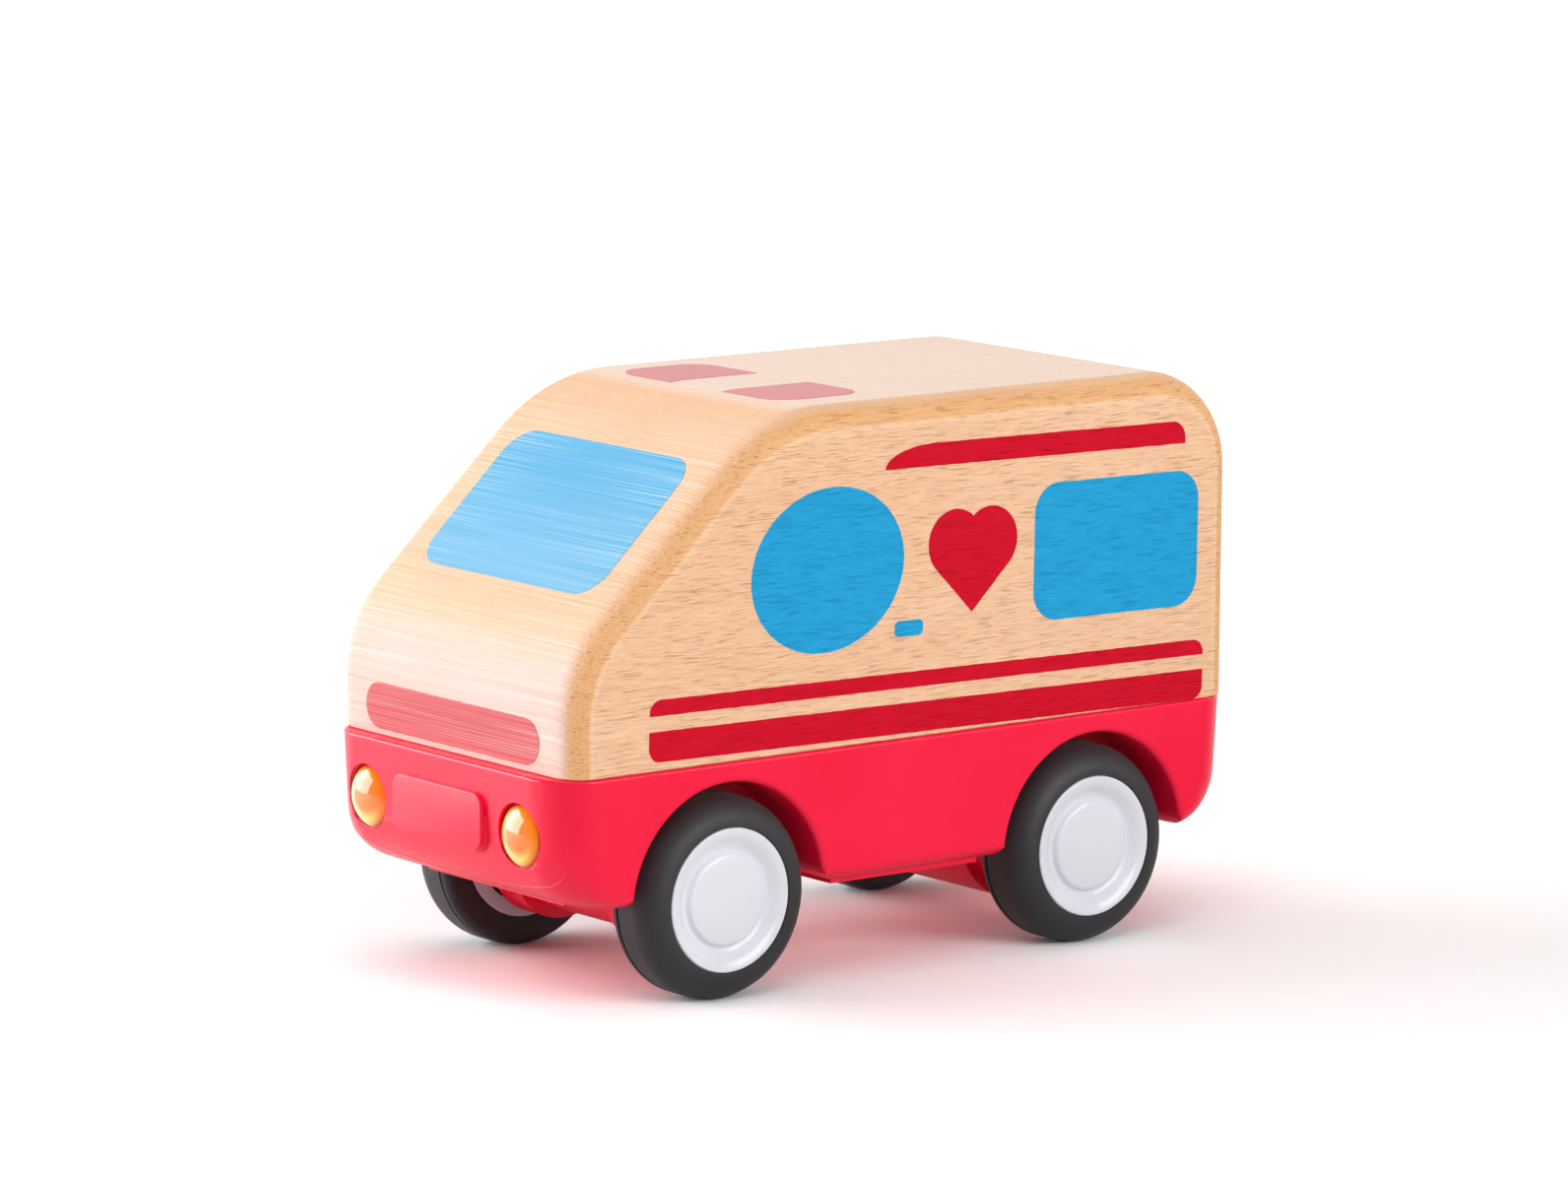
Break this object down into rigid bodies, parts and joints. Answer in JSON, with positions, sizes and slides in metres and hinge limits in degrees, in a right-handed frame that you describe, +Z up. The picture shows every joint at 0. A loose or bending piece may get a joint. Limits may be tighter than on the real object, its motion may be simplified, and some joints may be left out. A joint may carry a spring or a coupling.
{
  "type": "toy ambulance",
  "caption": "Chunky wooden toy ambulance: printed beech block body on a red moulded chassis with amber headlamps, rolling on wheels pressed on free-turning steel axles.",
  "frame": {"origin": "on the ground, in the middle of the overall length and width", "axes": "+X forward along the length, +Y to the vehicle's left, +Z up from the ground"},
  "size_m": [0.1214, 0.0554, 0.0801],
  "materials": {
    "beech": "satin",
    "red_plastic": "satin",
    "amber_lens": "gloss",
    "white_plastic": "satin",
    "black_rubber": "matt",
    "steel": "drawn",
    "blue_ink": "printed ink on wood",
    "red_ink": "printed ink on wood"
  },
  "bodies": {
    "body": {"wooden_body": "beech", "chassis_shell": "red_plastic", "base_plate": "red_plastic", "headlamp_left": "amber_lens", "headlamp_right": "amber_lens", "wood_screws": "steel", "base_screws": "steel", "windscreen_print": "blue_ink", "grille_print": "red_ink", "roof_lamp_prints": "red_ink", "window_prints_left": "blue_ink", "window_prints_right": "blue_ink", "handle_print_left": "blue_ink", "handle_print_right": "blue_ink", "stripe_prints_left": "red_ink", "stripe_prints_right": "red_ink", "heart_print_left": "red_ink", "heart_print_right": "red_ink"},
    "front_wheelset": {"front_axle": "steel", "front_hub_left": "white_plastic", "front_hub_right": "white_plastic", "front_tyre_left": "black_rubber", "front_tyre_right": "black_rubber"},
    "rear_wheelset": {"rear_axle": "steel", "rear_hub_left": "white_plastic", "rear_hub_right": "white_plastic", "rear_tyre_left": "black_rubber", "rear_tyre_right": "black_rubber"}
  },
  "joints": [
    {"name": "front_axle_spin", "type": "hinge", "parent": "body", "child": "front_wheelset", "pos_m": [0.0305, 0, 0.0141], "axis": [0, 1, 0], "continuous": true},
    {"name": "rear_axle_spin", "type": "hinge", "parent": "body", "child": "rear_wheelset", "pos_m": [-0.03394, 0, 0.0141], "axis": [0, 1, 0], "continuous": true}
  ]
}
